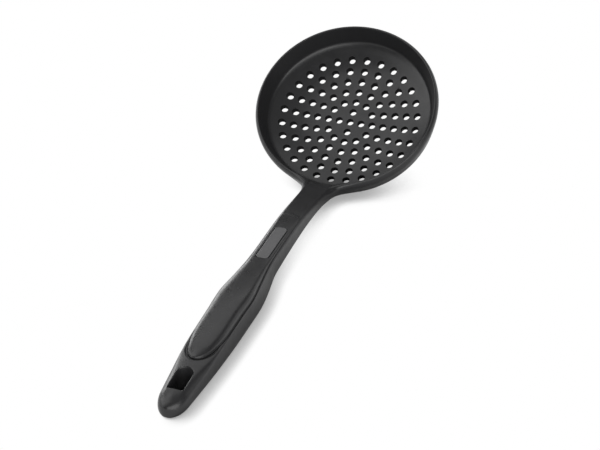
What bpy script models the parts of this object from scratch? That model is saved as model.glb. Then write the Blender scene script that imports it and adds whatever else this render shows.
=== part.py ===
"""Kitchen skimmer: a dished, perforated bowl on an angled neck, with a hollow handle,
a soft grip pad on a hard carrier, and a bare inlaid plate.

The skimmer lies on a table: z = 0 is the table, +Y runs from the handle to the bowl,
and the bowl leans back so that its far rim stands up from the table.
"""

from math import cos, pi, radians, sin, sqrt

import bmesh
import bpy
from mathutils import Matrix, Vector

MM = 0.001

# Bowl, in its own frame: axis along z, origin in the middle of the centre hole
BOWL_TILT = radians(35.1)
BOWL_CENTRE_HEIGHT = 23.4 * MM
HOLE_PITCH = 7.0 * MM
HOLE_DIAMETER = 4.35 * MM
HOLE_SIDES = 10
HOLES_PER_RING = (1, 4, 12, 16, 20, 24, 28)
FLOOR_THICKNESS = 3.85 * MM
DISH_RADIUS = 42.0 * MM
DISH_RISE = 3.6 * MM
DISH_POWER = 4.0
FLOOR_RINGS = (2.0 * MM, 14.0 * MM, 28.0 * MM, 38.0 * MM, 45.0 * MM)
CREASE = (50.6 * MM, 8.9 * MM)
RIM_SHIFT = 1.7 * MM
RIM_CREST = (53.4 * MM, 21.4 * MM)
RIM_ROLL = (55.3 * MM, 21.0 * MM)
RIM_OUTER = (56.5 * MM, 18.6 * MM)
WALL_MIDDLE = (55.0 * MM, 13.2 * MM)
WALL_FOOT = (53.3 * MM, 6.8 * MM)
BASE_CORNER = (52.4 * MM, 5.1 * MM)
BASE_EDGE = (49.8 * MM, 4.4 * MM)
BOWL_COLUMNS = 42
WALL_STEPS = 4

# Mouth, where the rim and the wall sweep out of their circles into the neck
WALL_LEAVES_AT = radians(34.0)
RIM_LEAVES_AT = radians(15.0)
LEAVING_POWER = 0.6
FILLET_TURN = radians(14.0)
FILLET_COLUMNS = 7
FILLET_PULL = 1.15
MOUTH_HALF_ANGLE = radians(8.5)
MOUTH_LINES = 3

# Handle, by distance from the bowl's centre along the table
NECK_START = 65.0 * MM
HANDLE_END = 299.0 * MM
END_ROUND = 13.5 * MM
END_ROUND_POWER = 2.2
END_NOSE_HEIGHT = 3.0 * MM
END_FLATNESS = 0.35
STATION_STEP = 6.0 * MM
END_STATIONS = 6
TOP_EDGE_HEIGHT = ((65, 12.4), (85, 14.3), (110, 16.3), (130, 16.4), (155, 16.0), (185, 15.6),
                   (215, 14.5), (245, 12.7), (265, 10.5), (285, 8.5), (299, 7.2))
TOP_CROWN = ((65, 0.0), (90, 0.4), (115, 1.4), (150, 1.8), (200, 1.6), (245, 1.4), (265, 2.2),
             (285, 3.0), (299, 2.6))
TOP_HALF_WIDTH = ((65, 6.6), (85, 6.7), (115, 6.7), (150, 6.7), (167, 7.3), (185, 9.2), (200, 10.4),
                  (215, 10.4), (240, 9.9), (255, 9.2), (270, 7.9), (290, 6.4), (299, 6.0))
SIDE_HALF_WIDTH = ((65, 9.4), (75, 7.9), (90, 7.2), (120, 7.1), (150, 7.2), (167, 8.2), (185, 10.7),
                   (200, 11.7), (215, 11.8), (240, 11.3), (255, 10.7), (270, 9.7), (290, 8.4), (299, 7.9))
NECK_CLEARANCE = ((65, 4.4), (90, 5.7), (115, 5.8))
CLEARANCE_FROM = 100.0 * MM
CLEARANCE_TO = 195.0 * MM
BOTTOM_CORNER = 3.4 * MM

# Hang hole
HANG_HALF_WIDTH = 4.4 * MM
HANG_HEAD = 267.5 * MM
HANG_FOOT = 287.5 * MM
HANG_CORNER = 1.3 * MM

# Grip: the pad's outline, its seat in the handle, and the hollow under it
PAD_START = 108.0 * MM
PAD_END = 261.0 * MM
PAD_START_ROUND = 5.0 * MM
PAD_TIP_ROUND = 30.0 * MM
PAD_TIP_POWER = 2.2
PAD_END_FLAT = 0.25 * MM
PAD_RIM = ((108, 1.6), (150, 1.6), (185, 0.8), (261, 0.8))
PAD_CROWN = ((108, 0.5), (125, 1.2), (160, 1.5), (180, 2.6), (205, 3.8), (235, 3.6), (252, 2.4), (261, 1.0))
PAD_CROWN_POWER = 3.0
PAD_LINES = 10
NECK_SEAT_DEPTH = 1.8 * MM
CARRIER_START = 168.0 * MM
CARRIER_END = 256.0 * MM
CARRIER_TOP_DEPTH = 2.4 * MM
CARRIER_THICKNESS = 2.0 * MM
CARRIER_SLOTS = (182.0 * MM, 206.0 * MM, 230.0 * MM)
SLOT_LENGTH = 12.0 * MM
SLOT_HALF_WIDTH = 2.2 * MM
HOLLOW_LEDGE = 2.0 * MM
HOLLOW_FLOOR = 2.2 * MM
HOLLOW_START = 174.0 * MM
HOLLOW_END = 248.0 * MM
HOLLOW_CELLS = 4
RIB_THICKNESS = 2.0 * MM
GAP = 0.3 * MM
CUTTER_REACH = 12.0 * MM

# Inlaid plate on the neck
PLATE_START = 126.5 * MM
PLATE_END = 161.5 * MM
PLATE_HALF_WIDTH = 3.5 * MM
PLATE_CORNER = 2.6 * MM
PLATE_DEPTH = 0.9 * MM
PLATE_PROUD = 0.3 * MM
PLATE_LINES = 6

BLACK_NYLON = (0.030, 0.030, 0.031, 1.0)
BLACK_POLYPROPYLENE = (0.022, 0.022, 0.023, 1.0)
SOFT_BLACK = (0.040, 0.040, 0.041, 1.0)
GREY_PLATE = (0.130, 0.130, 0.132, 1.0)


def smoothstep(low, high, value):
    """Ease from 0 at low to 1 at high."""
    t = min(max((value - low) / (high - low), 0.0), 1.0)
    return t * t * (3.0 - 2.0 * t)


def profile(keys):
    """Smooth curve through hand-set (distance, size) points in millimetres."""
    xs = [x * MM for x, _ in keys]
    ys = [y * MM for _, y in keys]
    last = len(keys) - 1
    slopes = []
    for i in range(len(keys)):
        before, after = max(i - 1, 0), min(i + 1, last)
        slopes.append((ys[after] - ys[before]) / (xs[after] - xs[before]))

    def value(x):
        x = min(max(x, xs[0]), xs[-1])
        i = max(k for k in range(last) if x >= xs[k])
        span = xs[i + 1] - xs[i]
        t = (x - xs[i]) / span
        return ((1 + 2 * t) * (1 - t) ** 2 * ys[i] + t * (1 - t) ** 2 * span * slopes[i]
                + t * t * (3 - 2 * t) * ys[i + 1] - t * t * (1 - t) * span * slopes[i + 1])

    return value


top_edge_height = profile(TOP_EDGE_HEIGHT)
top_crown = profile(TOP_CROWN)
top_half_width = profile(TOP_HALF_WIDTH)
side_half_width = profile(SIDE_HALF_WIDTH)
pad_rim = profile(PAD_RIM)
pad_crown = profile(PAD_CROWN)
neck_clearance = profile(NECK_CLEARANCE)


def hermite(start, start_pull, end, end_pull, t):
    """Point at t on a curve with a given start, end and pull at each."""
    return (start * (1 + 2 * t) * (1 - t) ** 2 + start_pull * t * (1 - t) ** 2
            + end * t * t * (3 - 2 * t) - end_pull * t * t * (1 - t))


def material(name, colour, roughness):
    """Plain plastic with its own colour and roughness."""
    made = bpy.data.materials.new(name)
    made.use_nodes = True
    shader = made.node_tree.nodes["Principled BSDF"]
    shader.inputs["Base Color"].default_value = colour
    shader.inputs["Roughness"].default_value = roughness
    shader.inputs["Metallic"].default_value = 0.0
    return made


def new_object(name, mesh_data, parent=None):
    """Turn a bmesh into a named object, with smooth shading up to sharp edges."""
    bmesh.ops.recalc_face_normals(mesh_data, faces=mesh_data.faces)
    mesh = bpy.data.meshes.new(name)
    mesh_data.to_mesh(mesh)
    mesh_data.free()
    mesh.shade_smooth()
    mesh.set_sharp_from_angle(angle=radians(35.0))
    made = bpy.data.objects.new(name, mesh)
    bpy.context.collection.objects.link(made)
    made.parent = parent
    return made


def loft(rings):
    """Closed solid through rings of points, capped at both ends."""
    mesh = bmesh.new()
    made = [[mesh.verts.new(point) for point in ring] for ring in rings]
    for near, far in zip(made, made[1:]):
        for i in range(len(near)):
            j = (i + 1) % len(near)
            mesh.faces.new((near[i], near[j], far[j], far[i]))
    mesh.faces.new(made[0])
    mesh.faces.new(made[-1])
    return mesh


def combine(target, tool, name, operation):
    """Add or cut one solid with another, and keep the tool as a hidden guide."""
    tool.hide_render = True
    tool.display_type = "WIRE"
    modifier = target.modifiers.new(name, "BOOLEAN")
    modifier.operation = operation
    modifier.solver = "EXACT"
    modifier.object = tool


def cut(target, tool, name):
    combine(target, tool, name, "DIFFERENCE")


def add(target, tool, name):
    combine(target, tool, name, "UNION")


def dish(radius):
    """Rise of the floor's middle above the centre hole."""
    return DISH_RISE * (radius / DISH_RADIUS) ** DISH_POWER


BOWL_TO_TABLE = Matrix.Translation((0.0, 0.0, BOWL_CENTRE_HEIGHT)) @ Matrix.Rotation(BOWL_TILT, 4, "X")


def bowl_point(radius, angle, height, shift):
    """Point of the bowl; the angle is counted from the handle's side."""
    return BOWL_TO_TABLE @ Vector((radius * sin(angle), shift - radius * cos(angle), height))


def resting(point):
    """Point of the underside, kept on or above the table."""
    return Vector((point.x, point.y, max(point.z, 0.0)))


def bowl_edge(angle):
    """Points from the rim's crest over the outside to the edge of the base."""
    outline = (RIM_CREST, RIM_ROLL, RIM_OUTER, WALL_MIDDLE, WALL_FOOT, BASE_CORNER, BASE_EDGE)
    return [bowl_point(radius, angle, height, RIM_SHIFT) for radius, height in outline]


def end_taper(distance):
    """Rounds the handle's end in plan: 1 along the handle, 0 at its end."""
    t = max((distance - (HANDLE_END - END_ROUND)) / END_ROUND, 0.0)
    return max(1.0 - t ** END_ROUND_POWER, 0.0) ** (1.0 / END_ROUND_POWER)


def handle_bottom(distance):
    """Height of the underside: the neck stands clear, the grip lies on the table."""
    return neck_clearance(distance) * (1.0 - smoothstep(CLEARANCE_FROM, CLEARANCE_TO, distance))


def handle_top(distance, x):
    """Height of the moulded handle's top at x from its centre line."""
    across = min(abs(x) / top_half_width(distance), 1.0)
    return top_edge_height(distance) + top_crown(distance) * (1.0 - across * across)


def handle_section(distance):
    """Ring of the handle: top from left to right, right side, underside, left side."""
    taper = max(end_taper(distance), 0.05)
    squeeze = END_FLATNESS + (1.0 - END_FLATNESS) * taper
    edge = top_edge_height(distance)
    bottom = handle_bottom(distance)
    height = edge - bottom
    top_width = top_half_width(distance)
    side_width = side_half_width(distance)
    lean = side_width - top_width
    lines = [line / MOUTH_LINES for line in range(-MOUTH_LINES, MOUTH_LINES + 1)]
    top = [(u * top_width, handle_top(distance, u * top_width)) for u in lines]
    side = [(top_width + 0.30 * lean, edge - 0.10 * height),
            (top_width + 0.65 * lean, edge - 0.26 * height),
            (side_width, edge - 0.55 * height),
            (side_width - 0.10 * BOTTOM_CORNER, bottom + 0.70 * BOTTOM_CORNER),
            (side_width - 0.42 * BOTTOM_CORNER, bottom + 0.20 * BOTTOM_CORNER)]
    base_width = side_width - BOTTOM_CORNER
    base = [(u * base_width, bottom) for u in reversed(lines)]
    mirrored = [(-x, z) for x, z in reversed(side)]
    ring = top + side + base + mirrored
    nose = END_NOSE_HEIGHT if distance > HANDLE_END - END_ROUND else 0.0
    return [Vector((x * taper, -distance, nose + (z - nose) * squeeze)) for x, z in ring]


def stations(start, end, step):
    """Evenly spaced distances from start to end."""
    count = max(round((end - start) / step), 1)
    return [start + (end - start) * i / count for i in range(count + 1)]


def rounded_stations(start, end, start_round, end_round, step):
    """Stations that crowd towards rounded ends."""
    head = [start + start_round * (1.0 - cos(0.5 * pi * i / END_STATIONS)) for i in range(END_STATIONS)]
    tail = [end - end_round * (1.0 - cos(0.5 * pi * i / END_STATIONS)) for i in range(END_STATIONS)]
    return head + stations(start + start_round, end - end_round, step) + tail[::-1]


def body_mesh():
    """Bowl, neck and handle as one moulding: a closed grid that flows through the mouth."""
    mesh = bmesh.new()
    straight = stations(NECK_START, HANDLE_END - END_ROUND, STATION_STEP)
    turns = [0.5 * pi * i / END_STATIONS for i in range(1, END_STATIONS + 1)]
    nose = [HANDLE_END - END_ROUND * (1.0 - sin(turn)) for turn in turns]
    sections = [[mesh.verts.new(p) for p in handle_section(d)] for d in straight + nose]
    ring_size = len(sections[0])
    for near, far in zip(sections, sections[1:]):
        for i in range(ring_size):
            j = (i + 1) % ring_size
            mesh.faces.new((near[i], far[i], far[j], near[j]))
    mesh.faces.new(sections[-1])

    across = 2 * MOUTH_LINES + 1
    first = sections[0]
    edge_count = len(bowl_edge(0.0))
    right_edge = first[across - 1:across - 1 + edge_count]
    left_edge = [first[0]] + first[:-edge_count:-1]
    neck_top = first[:across]
    neck_base = left_edge[-1:] + [first[across + edge_count - 2 + i] for i in range(across - 2, -1, -1)]

    second = [v.co for v in sections[1]]
    neck_way = [(v.co - q).normalized() for v, q in zip(first, second)]

    def fillet(side, t):
        """Edge points between the bowl's circles (t = 0) and the neck (t = 1)."""
        points = []
        neck = right_edge if side > 0 else left_edge
        for level, end in enumerate(neck):
            share = (level / (edge_count - 1)) ** LEAVING_POWER
            leaves_at = RIM_LEAVES_AT + (WALL_LEAVES_AT - RIM_LEAVES_AT) * share
            on_circle = WALL_LEAVES_AT - leaves_at
            split = on_circle / (on_circle + FILLET_TURN)
            if t < split:
                points.append(bowl_edge(side * (WALL_LEAVES_AT - on_circle * t / split))[level])
                continue
            start = bowl_edge(side * leaves_at)[level]
            heading = (start - bowl_edge(side * (leaves_at + 0.01))[level]).normalized()
            pull = FILLET_PULL * (end.co - start).length
            way = -neck_way[first.index(end)]
            points.append(hermite(start, heading * pull, end.co, way * pull, (t - split) / (1.0 - split)))
        return points

    columns = []
    for line in range(-MOUTH_LINES, MOUTH_LINES + 1):
        columns.append((MOUTH_HALF_ANGLE * line / MOUTH_LINES, 1.0, line))
    turn = 2.0 * (pi - WALL_LEAVES_AT) / BOWL_COLUMNS
    for i in range(FILLET_COLUMNS - 1, 0, -1):
        columns.append((None, i / FILLET_COLUMNS, 1))
    for i in range(BOWL_COLUMNS + 1):
        columns.append((WALL_LEAVES_AT + turn * i, 0.0, None))
    for i in range(1, FILLET_COLUMNS):
        columns.append((None, i / FILLET_COLUMNS, -1))

    def column_angle(angle, blend, side):
        if angle is not None:
            return angle
        return side * (WALL_LEAVES_AT + (MOUTH_HALF_ANGLE - WALL_LEAVES_AT) * blend)

    edges = []
    for angle, blend, key in columns:
        if blend == 0.0:
            edges.append([mesh.verts.new(p) for p in bowl_edge(angle)])
        elif angle is None:
            edges.append([mesh.verts.new(p) for p in fillet(key, blend)])
        elif key == MOUTH_LINES:
            edges.append(right_edge)
        elif key == -MOUTH_LINES:
            edges.append(left_edge)
        else:
            edges.append(None)

    top_columns = []
    base_columns = []
    for (angle, blend, key), edge in zip(columns, edges):
        phi = column_angle(angle, blend, key)
        mouth = angle is not None and blend == 1.0
        rim_vert = neck_top[key + MOUTH_LINES] if mouth else edge[0]
        base_vert = neck_base[key + MOUTH_LINES] if mouth else edge[-1]
        half = 0.5 * FLOOR_THICKNESS
        top = [mesh.verts.new(bowl_point(r, phi, half + dish(r), 0.0)) for r in FLOOR_RINGS]
        base = [mesh.verts.new(resting(bowl_point(r, phi, dish(r) - half, 0.0))) for r in FLOOR_RINGS]
        crease = bowl_point(CREASE[0], phi, CREASE[1], RIM_SHIFT)
        wall_way = bowl_point(RIM_CREST[0], phi, RIM_CREST[1], RIM_SHIFT) - crease
        reach = (rim_vert.co - crease).length
        wall_way.normalize()
        neck_dir = -neck_way[key + MOUTH_LINES] if mouth else -neck_way[0]
        out_way = (wall_way * (1.0 - blend) - neck_dir * blend).normalized()
        for i in range(WALL_STEPS):
            point = hermite(crease, wall_way * reach, rim_vert.co, out_way * reach, i / WALL_STEPS)
            top.append(mesh.verts.new(point))
        top.append(rim_vert)
        foot = base[-1].co
        foot_way = (foot - base[-2].co).normalized()
        base_reach = (base_vert.co - foot).length
        base_out = (foot_way * (1.0 - blend) - neck_dir * blend).normalized()
        for i in range(1, WALL_STEPS):
            t = i / WALL_STEPS
            point = hermite(foot, foot_way * base_reach, base_vert.co, base_out * base_reach, t)
            base.append(mesh.verts.new(resting(point)))
        base.append(base_vert)
        top_columns.append(top)
        base_columns.append(base)

    count = len(columns)
    for i in range(count):
        j = (i + 1) % count
        for a, b in ((top_columns[i], top_columns[j]), (base_columns[j], base_columns[i])):
            for k in range(len(a) - 1):
                mesh.faces.new((a[k], a[k + 1], b[k + 1], b[k]))
        if edges[i] and edges[j]:
            for k in range(edge_count - 1):
                mesh.faces.new((edges[i][k], edges[i][k + 1], edges[j][k + 1], edges[j][k]))
    mesh.faces.new([column[0] for column in top_columns])
    mesh.faces.new([column[0] for column in base_columns])
    return mesh


def perforations():
    """Ring after ring of drain holes, along the bowl's axis."""
    mesh = bmesh.new()
    low = -0.5 * FLOOR_THICKNESS - HOLE_DIAMETER
    high = 0.5 * FLOOR_THICKNESS + dish(DISH_RADIUS) + HOLE_DIAMETER
    for ring, holes in enumerate(HOLES_PER_RING):
        for hole in range(holes):
            angle = 2.0 * pi * hole / holes
            radius = ring * HOLE_PITCH
            centre = Vector((radius * cos(angle), radius * sin(angle), 0.5 * (low + high)))
            bmesh.ops.create_cone(mesh, cap_ends=True, segments=HOLE_SIDES, depth=high - low,
                                  radius1=0.5 * HOLE_DIAMETER, radius2=0.5 * HOLE_DIAMETER,
                                  matrix=BOWL_TO_TABLE @ Matrix.Translation(centre))
    return mesh


def prism(outline, low, high):
    """Upright solid with a plan outline of (x, distance) points."""
    return loft([[Vector((x, -d, z)) for x, d in outline] for z in (low, high)])


def arc(centre_x, centre_d, radius, start, end, steps):
    """Plan points round a corner."""
    return [(centre_x + radius * cos(start + (end - start) * i / steps),
             centre_d + radius * sin(start + (end - start) * i / steps)) for i in range(steps + 1)]


def hang_outline():
    """Hang hole: a round head towards the bowl and a flat foot with small corners."""
    side = HANG_HALF_WIDTH - HANG_CORNER
    foot = HANG_FOOT - HANG_CORNER
    right = arc(side, foot, HANG_CORNER, 0.0, 0.5 * pi, 3)
    left = arc(-side, foot, HANG_CORNER, 0.5 * pi, pi, 3)
    return right + left + arc(0.0, HANG_HEAD + HANG_HALF_WIDTH, HANG_HALF_WIDTH, pi, 2.0 * pi, 10)


def pad_half_width(distance, grow=0.0):
    """Half width of the pad's outline, with a rounded start and a long rounded tip."""
    start = (PAD_START + PAD_START_ROUND - distance) / (PAD_START_ROUND + grow)
    tip = (distance - (PAD_END - PAD_TIP_ROUND)) / (PAD_TIP_ROUND + grow)
    start = min(max(start, 0.0), 1.0)
    tip = min(max(tip, 0.0), 1.0)
    rounding = sqrt(1.0 - start ** 2) * (1.0 - tip ** PAD_TIP_POWER) ** (1.0 / PAD_TIP_POWER)
    return max((top_half_width(distance) - pad_rim(distance) + grow) * rounding, PAD_END_FLAT + grow)


def pad_stations(grow):
    """Stations of the pad, with the step where its seat meets the carrier."""
    plain = rounded_stations(PAD_START - grow, PAD_END + grow, PAD_START_ROUND + grow, PAD_TIP_ROUND + grow,
                             STATION_STEP)
    return sorted(plain + [CARRIER_START - GAP, CARRIER_START])


def band(distances, half_width, low, high):
    """Bar through stations, with a half width, a low face and a high face at each."""
    rings = []
    for d in distances:
        w = half_width(d)
        ring = ((-w, low(d)), (w, low(d)), (w, high(d)), (-w, high(d)))
        rings.append([Vector((x, -d, z)) for x, z in ring])
    return loft(rings)


def above_handle(distance):
    """Level clear above the handle, where its cutters end."""
    return top_edge_height(distance) + CUTTER_REACH


def pad_seat(distance):
    """Height of the floor that the pad sits on: the neck's seat, then the carrier."""
    depth = NECK_SEAT_DEPTH if distance < CARRIER_START else CARRIER_TOP_DEPTH
    return top_edge_height(distance) - depth


def pad_edge(distance):
    """Height of the pad's upper edge, level with the handle beside it."""
    return handle_top(distance, pad_half_width(distance))


def pad_top(distance, x):
    """Height of the pad's crowned top at x from its centre line."""
    across = min(abs(x) / pad_half_width(distance), 1.0)
    crown = (1.0 - across ** PAD_CROWN_POWER) ** (1.0 / PAD_CROWN_POWER)
    return pad_edge(distance) + pad_crown(distance) * crown


def seat_cutter():
    """Room for the pad and, along the grip, for the carrier under it."""
    def low(d):
        return pad_seat(d) if d < CARRIER_START else pad_seat(d) - CARRIER_THICKNESS - GAP

    return band(pad_stations(GAP), lambda d: pad_half_width(d, GAP), low, above_handle)


def hollow_cutter():
    """Cells under the carrier, with a rib of the moulding between them."""
    mesh = bmesh.new()
    pitch = (HOLLOW_END - HOLLOW_START + RIB_THICKNESS) / HOLLOW_CELLS
    for cell in range(HOLLOW_CELLS):
        start = HOLLOW_START + cell * pitch
        made = band(stations(start, start + pitch - RIB_THICKNESS, STATION_STEP),
                    lambda d: pad_half_width(d) - HOLLOW_LEDGE,
                    lambda d: handle_bottom(d) + HOLLOW_FLOOR, pad_seat)
        join(mesh, made)
    return mesh


def join(mesh, other):
    """Add another shape to a mesh as a separate body."""
    copy = bpy.data.meshes.new("shape")
    other.to_mesh(copy)
    other.free()
    mesh.from_mesh(copy)
    bpy.data.meshes.remove(copy)


def slots(grow, low, high):
    """Blocks through the carrier that key the pad to it."""
    mesh = bmesh.new()
    for middle in CARRIER_SLOTS:
        ends = (middle - 0.5 * SLOT_LENGTH - grow, middle + 0.5 * SLOT_LENGTH + grow)
        join(mesh, band(ends, lambda d: SLOT_HALF_WIDTH + grow, low, high))
    return mesh


def carrier_mesh():
    """Hard plate that closes the hollow and carries the pad."""
    distances = stations(CARRIER_START + GAP, CARRIER_END, STATION_STEP)
    return band(distances, pad_half_width, lambda d: pad_seat(d) - CARRIER_THICKNESS, pad_seat)


def pad_mesh():
    """Soft pad: flat underneath, crowned on top, with full round flanks."""
    rings = []
    for d in pad_stations(0.0):
        w = pad_half_width(d)
        low = pad_seat(d) + GAP
        across = [-w * cos(pi * i / PAD_LINES) for i in range(PAD_LINES + 1)]
        ring = [(w, low), (-w, low)] + [(x, pad_top(d, x)) for x in across]
        rings.append([Vector((x, -d, z)) for x, z in ring])
    return loft(rings)


def plate_half_width(distance, grow):
    """Half width of the plate, with round corners at both ends."""
    inset = max(PLATE_START + PLATE_CORNER - distance, distance - (PLATE_END - PLATE_CORNER), 0.0)
    corner = PLATE_CORNER + grow
    return PLATE_HALF_WIDTH - PLATE_CORNER + sqrt(max(corner ** 2 - inset ** 2, 0.0))


def plate_stations(grow):
    corner = PLATE_CORNER + grow
    return rounded_stations(PLATE_START - grow, PLATE_END + grow, corner, corner, STATION_STEP)


def plate_mesh():
    """Bare inlaid plate that follows the pad's crown."""
    rings = []
    for d in plate_stations(0.0):
        w = plate_half_width(d, 0.0)
        across = [w * (2.0 * i / PLATE_LINES - 1.0) for i in range(PLATE_LINES + 1)]
        top = [(x, pad_top(d, x) + PLATE_PROUD) for x in across]
        base = [(x, pad_top(d, x) - PLATE_DEPTH) for x in reversed(across)]
        rings.append([Vector((x, -d, z)) for x, z in top + base])
    return loft(rings)


def plate_cutter():
    """Recess in the pad for the plate."""
    rings = []
    for d in plate_stations(GAP):
        w = plate_half_width(d, GAP)
        across = [w * (2.0 * i / PLATE_LINES - 1.0) for i in range(PLATE_LINES + 1)]
        top = [(x, above_handle(d)) for x in across]
        base = [(x, pad_top(d, x) - PLATE_DEPTH - GAP) for x in reversed(across)]
        rings.append([Vector((x, -d, z)) for x, z in top + base])
    return loft(rings)


def make_body(rig):
    body = new_object("skimmer_body", body_mesh(), rig)
    body.data.materials.append(material("black_nylon", BLACK_NYLON, 0.5))
    hang_hole = prism(hang_outline(), -CUTTER_REACH, above_handle(HANG_HEAD))
    cut(body, new_object("cut_pad_seat", seat_cutter(), rig), "pad_seat")
    cut(body, new_object("cut_hollow", hollow_cutter(), rig), "hollow")
    cut(body, new_object("cut_perforations", perforations(), rig), "perforations")
    cut(body, new_object("cut_hang_hole", hang_hole, rig), "hang_hole")
    return body


def make_carrier(rig):
    carrier = new_object("grip_carrier", carrier_mesh(), rig)
    carrier.data.materials.append(material("black_polypropylene", BLACK_POLYPROPYLENE, 0.6))
    openings = slots(GAP, lambda d: pad_seat(d) - CARRIER_THICKNESS - CUTTER_REACH, above_handle)
    cut(carrier, new_object("cut_carrier_slots", openings, rig), "slots")


def make_pad(rig):
    pad = new_object("grip_pad", pad_mesh(), rig)
    pad.data.materials.append(material("soft_black_elastomer", SOFT_BLACK, 0.6))
    keys = slots(0.0, lambda d: pad_seat(d) - CARRIER_THICKNESS, lambda d: pad_seat(d) + CARRIER_TOP_DEPTH)
    add(pad, new_object("add_pad_keys", keys, rig), "keys")
    cut(pad, new_object("cut_plate_recess", plate_cutter(), rig), "plate_recess")


def make_plate(rig):
    plate = new_object("badge_plate", plate_mesh(), rig)
    plate.data.materials.append(material("grey_satin_plastic", GREY_PLATE, 0.45))


def stand_on_origin(rig, body):
    """Put the origin under the middle of the skimmer, at the table."""
    corners = [vertex.co for vertex in body.data.vertices]
    low = min(corner.y for corner in corners)
    high = max(corner.y for corner in corners)
    base = min(corner.z for corner in corners)
    rig.location = (0.0, -0.5 * (low + high), -base)


def build():
    for old in list(bpy.data.objects):
        bpy.data.objects.remove(old, do_unlink=True)
    rig = bpy.data.objects.new("skimmer", None)
    bpy.context.collection.objects.link(rig)
    body = make_body(rig)
    make_carrier(rig)
    make_pad(rig)
    make_plate(rig)
    stand_on_origin(rig, body)


build()
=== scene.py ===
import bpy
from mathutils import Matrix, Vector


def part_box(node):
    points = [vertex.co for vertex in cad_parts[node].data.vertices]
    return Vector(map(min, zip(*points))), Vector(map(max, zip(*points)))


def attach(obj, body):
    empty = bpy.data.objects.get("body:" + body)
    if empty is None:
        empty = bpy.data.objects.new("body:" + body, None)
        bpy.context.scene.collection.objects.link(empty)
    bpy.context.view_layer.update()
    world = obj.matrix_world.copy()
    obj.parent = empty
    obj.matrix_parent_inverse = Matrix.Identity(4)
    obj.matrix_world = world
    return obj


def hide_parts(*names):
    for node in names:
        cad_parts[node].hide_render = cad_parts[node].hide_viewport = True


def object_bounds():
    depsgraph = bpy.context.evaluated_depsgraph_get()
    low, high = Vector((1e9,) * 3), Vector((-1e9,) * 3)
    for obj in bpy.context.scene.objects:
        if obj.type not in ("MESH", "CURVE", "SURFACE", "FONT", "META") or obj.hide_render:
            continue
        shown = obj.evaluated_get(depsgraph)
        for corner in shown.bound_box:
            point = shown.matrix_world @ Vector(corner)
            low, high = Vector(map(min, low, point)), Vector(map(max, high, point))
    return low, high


bl_info = {
    "name": "Kitchen skimmer",
    "version": (1, 0, 0),
    "blender": (4, 5, 0),
    "location": "3D View > Sidebar > Skimmer",
    "description": "Perforated bowl on an angled neck, with a soft grip pad and a bare inlaid plate",
    "category": "Object",
}

from math import cos, pi, radians, sin, sqrt

import bpy
from mathutils import Matrix, Vector

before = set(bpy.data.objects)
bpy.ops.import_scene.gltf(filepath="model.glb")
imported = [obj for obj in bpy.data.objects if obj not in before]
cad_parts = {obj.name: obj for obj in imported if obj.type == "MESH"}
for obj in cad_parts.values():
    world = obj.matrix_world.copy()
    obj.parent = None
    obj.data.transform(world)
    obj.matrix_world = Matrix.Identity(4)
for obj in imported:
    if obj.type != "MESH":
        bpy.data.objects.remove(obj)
CAD_LOW, CAD_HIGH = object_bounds()

MM = 0.001
MERGE_DISTANCE = 0.002 * MM
SMOOTH_ANGLE = radians(40.0)
CUTTER_REACH = 12.0 * MM

# Rounded edges of cuts: the turns that are modelled, and how far the cutter goes on past the surface
EDGE_TURNS = (0.0, radians(24.0), radians(48.0))
EDGE_OVERSHOOT = 0.5

# Bowl, in its own frame: axis along z, origin in the middle of the centre hole
BOWL_TILT = radians(35.1)
BOWL_CENTRE_HEIGHT = 23.4 * MM
HOLE_PITCH = 7.0 * MM
HOLES_PER_RING = (1, 4, 12, 16, 20, 24, 28)
HOLE_SIDES = 20
HOLE_CUTTER_REACH = 0.3 * HOLE_PITCH
HOLE_END_NORMAL = 0.9
FLOOR_THICKNESS = 3.85 * MM
DISH_RADIUS = 42.0 * MM
DISH_RISE = 3.6 * MM
DISH_POWER = 4.0
FLOOR_INNER_RING = 1.5 * MM
FLOOR_OUTER_RING = 46.5 * MM
FLOOR_RINGS = 15
CREASE_RADIUS = 50.6 * MM
CREASE_HEIGHT = 8.9 * MM
RIM_SHIFT = 1.7 * MM
WALL_TOP = (53.7 * MM, 20.4 * MM)
RIM_ROLL = 0.08
WALL_STEPS = 12
WALL_CROWDING = 1.5
UNDER_STEPS = 8
BOWL_COLUMNS = 84
# Radius and height in millimetres, and leaving order, from the rim's crest to the edge of the base
BOWL_EDGE = ((54.3, 21.35, 0.0), (54.75, 21.5, 0.7), (55.2, 21.3, 1.4), (56.2, 19.7, 2.0),
             (56.5, 17.8, 2.5), (55.7, 14.8, 3.0), (54.9, 12.0, 3.33), (54.1, 9.2, 3.67),
             (53.3, 6.8, 4.0), (52.4, 5.1, 5.0), (51.2, 4.6, 5.5), (49.8, 4.4, 6.0))

# Mouth, where the rim and the wall sweep out of their circles into the neck
WALL_LEAVES_AT = radians(34.0)
RIM_LEAVES_AT = radians(15.0)
LEAVING_POWER = 0.6
FILLET_TURN = radians(14.0)
FILLET_COLUMNS = 12
FILLET_PULL = 1.15
HEADING_STEP = 0.01
MOUTH_HALF_ANGLE = radians(8.5)

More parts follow.
